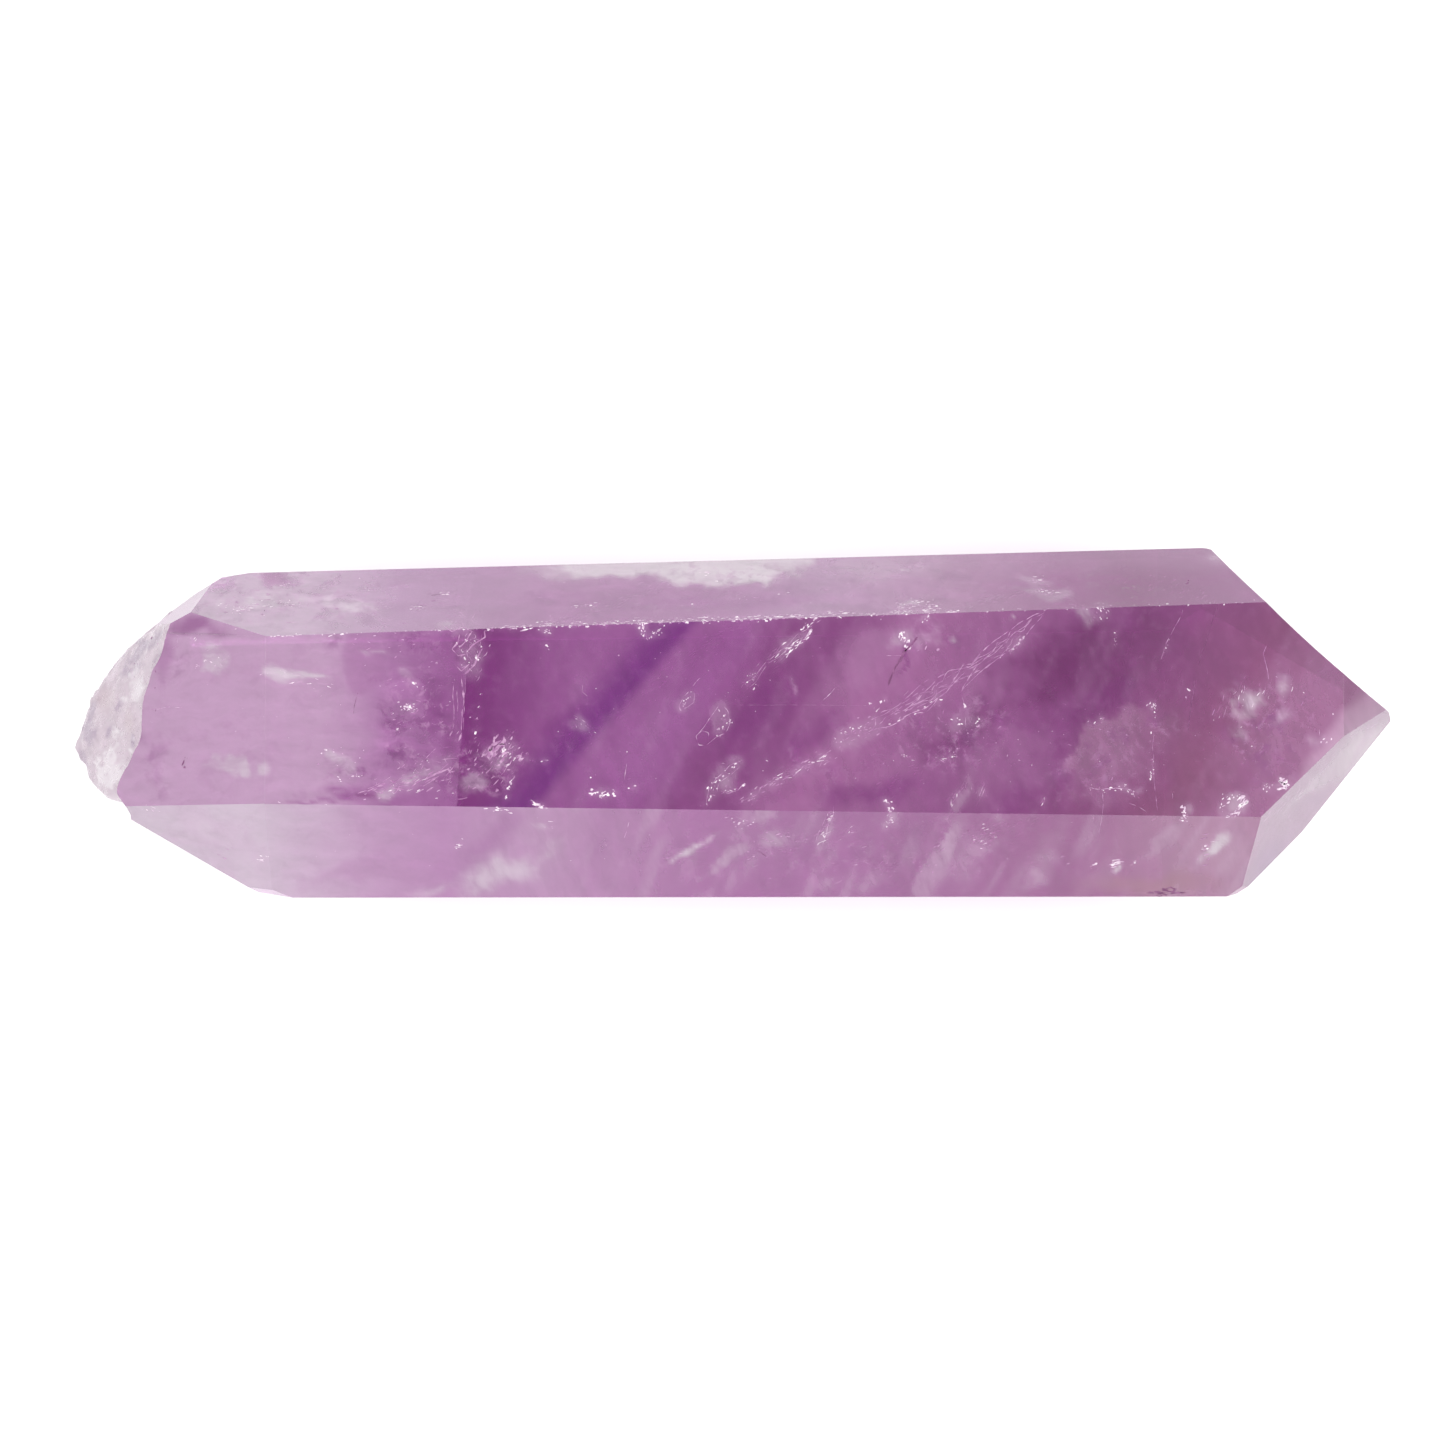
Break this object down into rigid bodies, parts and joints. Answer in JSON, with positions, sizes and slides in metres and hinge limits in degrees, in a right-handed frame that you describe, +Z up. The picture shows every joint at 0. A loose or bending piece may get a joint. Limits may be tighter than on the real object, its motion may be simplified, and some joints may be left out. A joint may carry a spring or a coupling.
{
  "type": "double terminated amethyst point",
  "caption": "Long polished amethyst crystal with flat sides, cut to a sharp point at one end and to short facets with a rough break at the other. It lies on a flat side.",
  "frame": {"origin": "bottom centre of the crystal's bounding box, on the surface that it lies on", "axes": "+X along the crystal towards its sharp end, +Y across it towards the back, +Z up from the face that it lies on"},
  "size_m": [0.076, 0.0202, 0.015],
  "materials": {
    "amethyst": "clear to cloudy purple quartz, polished, frosted on the break"
  },
  "bodies": {
    "root": {"amethyst_point": "amethyst"}
  },
  "joints": []
}
